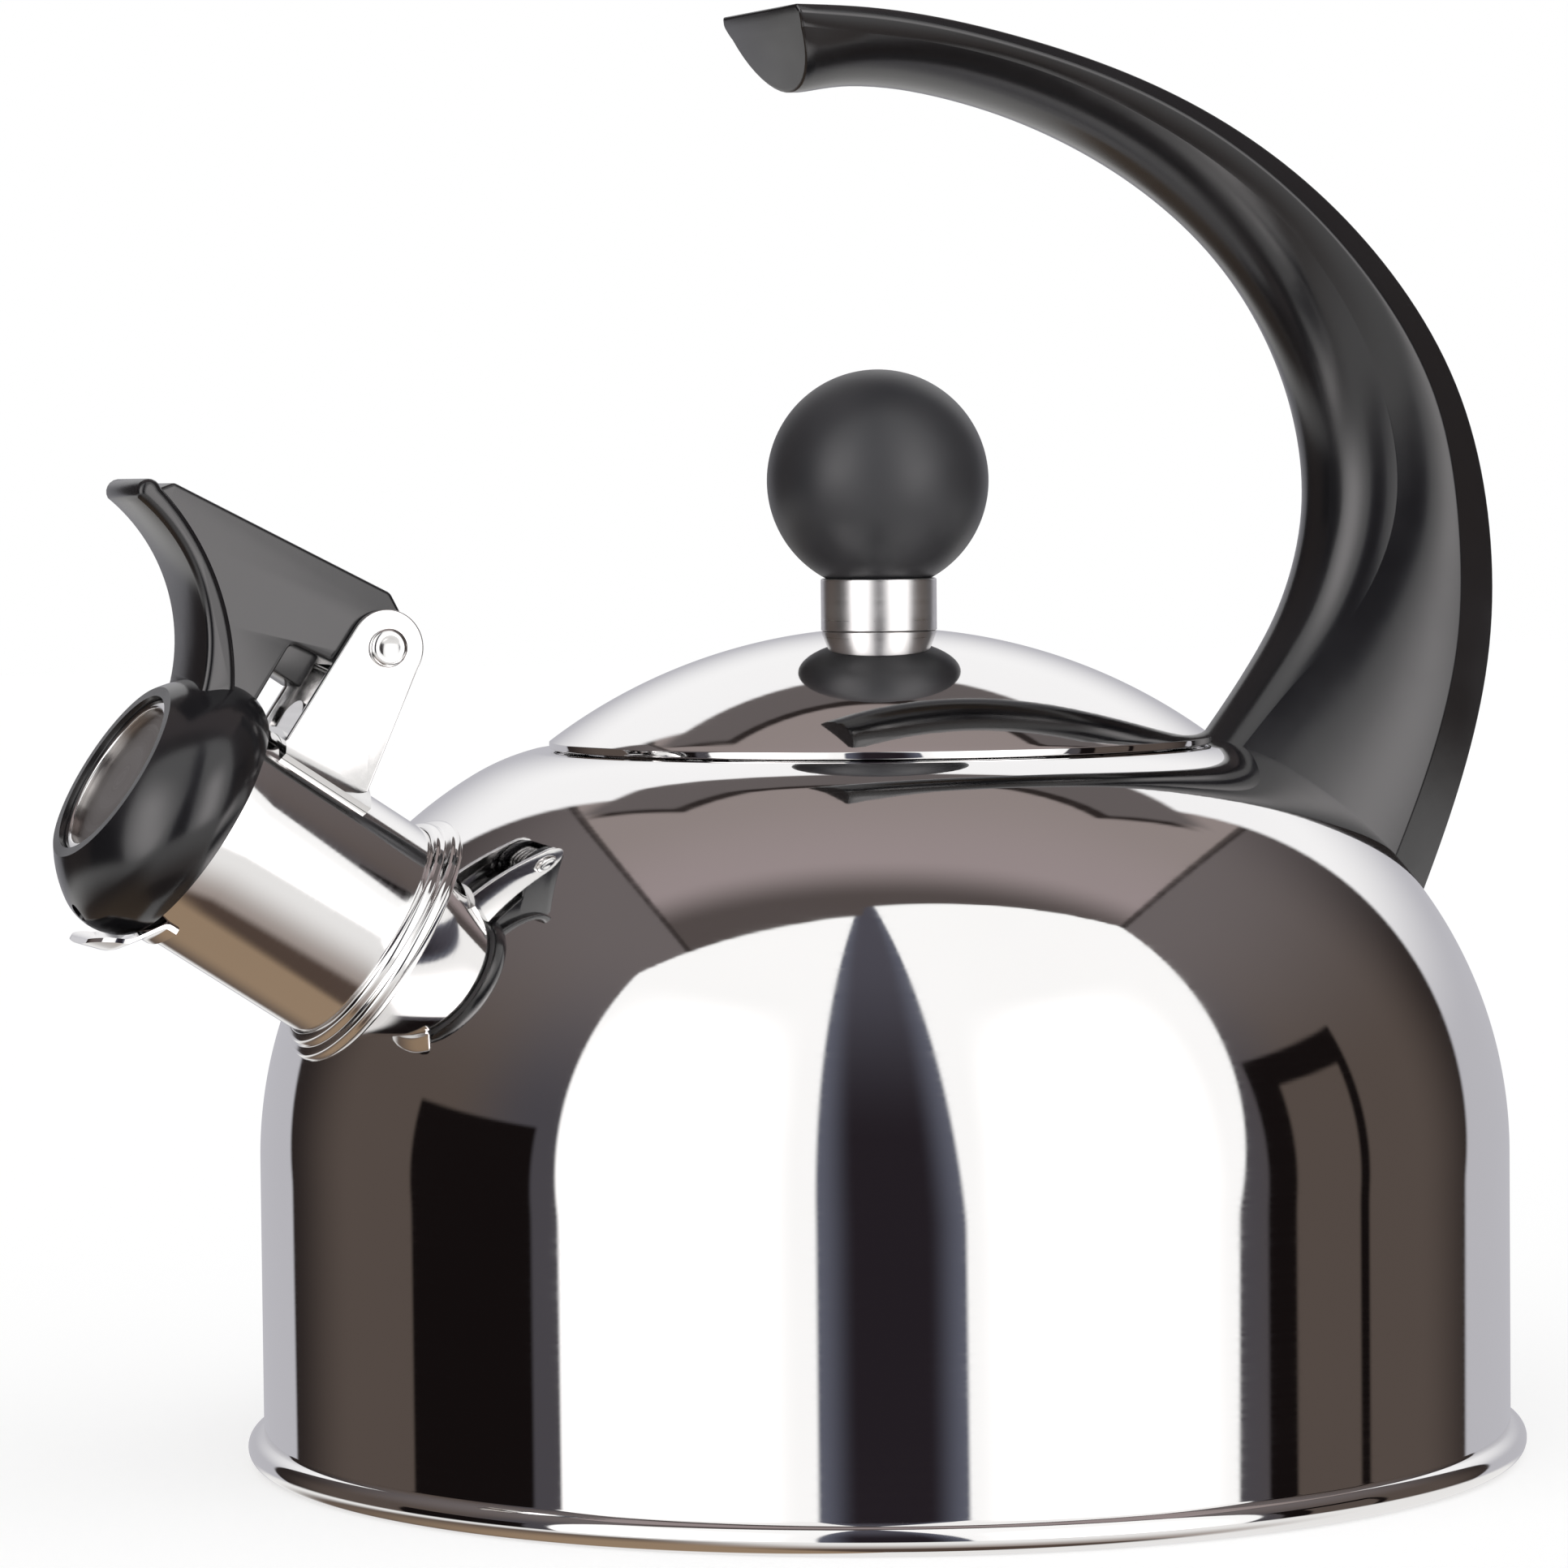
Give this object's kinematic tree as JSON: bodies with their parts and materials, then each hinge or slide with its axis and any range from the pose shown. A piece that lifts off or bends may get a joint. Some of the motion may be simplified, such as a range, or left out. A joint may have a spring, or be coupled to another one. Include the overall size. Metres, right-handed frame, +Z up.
{
  "type": "stovetop whistling kettle",
  "caption": "Polished steel stovetop kettle with a lift-off ball-knob lid, a one-armed black handle and a sprung whistle flap on its straight spout.",
  "frame": {"origin": "middle of the base's flat underside, on the kettle's axis, at the level that it stands on", "axes": "+Z up along the kettle's axis, the spout towards -X and the handle on +X, so that the XZ plane halves the kettle"},
  "size_m": [0.2395, 0.201, 0.2255],
  "materials": {
    "polished_steel": "mirror-polished stainless steel",
    "bright_steel": "bright stainless steel",
    "badge_steel": "finely brushed steel",
    "spring_steel": "drawn spring wire",
    "black_bakelite": "glossy moulded phenolic",
    "satin_bakelite": "satin moulded phenolic",
    "silicone": "grey silicone",
    "brass": "turned brass",
    "whistle_aluminium": "pressed aluminium"
  },
  "bodies": {
    "kettle": {"body_shell": "polished_steel", "base_plate": "polished_steel", "base_seam": "polished_steel", "spout_tube": "polished_steel", "spout_collar": "polished_steel", "pour_lip": "polished_steel", "hinge_bracket": "bright_steel", "hinge_pin": "bright_steel", "flap_spring": "spring_steel", "handle": "black_bakelite", "handle_inserts": "brass", "handle_screws": "bright_steel", "handle_washers": "bright_steel", "handle_seals": "silicone"},
    "flap": {"whistle_flap": "black_bakelite", "badge_plate": "badge_steel", "badge_ring": "bright_steel", "cap_gasket": "silicone", "whistle_cup": "whistle_aluminium", "whistle_plate": "whistle_aluminium"},
    "lid": {"lid_shell": "polished_steel", "lid_skirt": "polished_steel", "knob_ball": "satin_bakelite", "knob_ferrule": "bright_steel", "knob_insert": "brass", "lid_screw": "bright_steel", "lid_washer": "bright_steel"}
  },
  "joints": [
    {"name": "flap_hinge", "type": "hinge", "parent": "kettle", "child": "flap", "pos_m": [-0.08484, 0, 0.12812], "axis": [0, 1, 0], "range_deg": [0, 60], "stiffness_Nm_per_rad": 0.03, "springref_deg": -40.11, "deforming": ["flap_spring"]},
    {"name": "lid_lift", "type": "slide", "parent": "kettle", "child": "lid", "axis": [0, 0, 1], "range_m": [0, 0.038]}
  ]
}
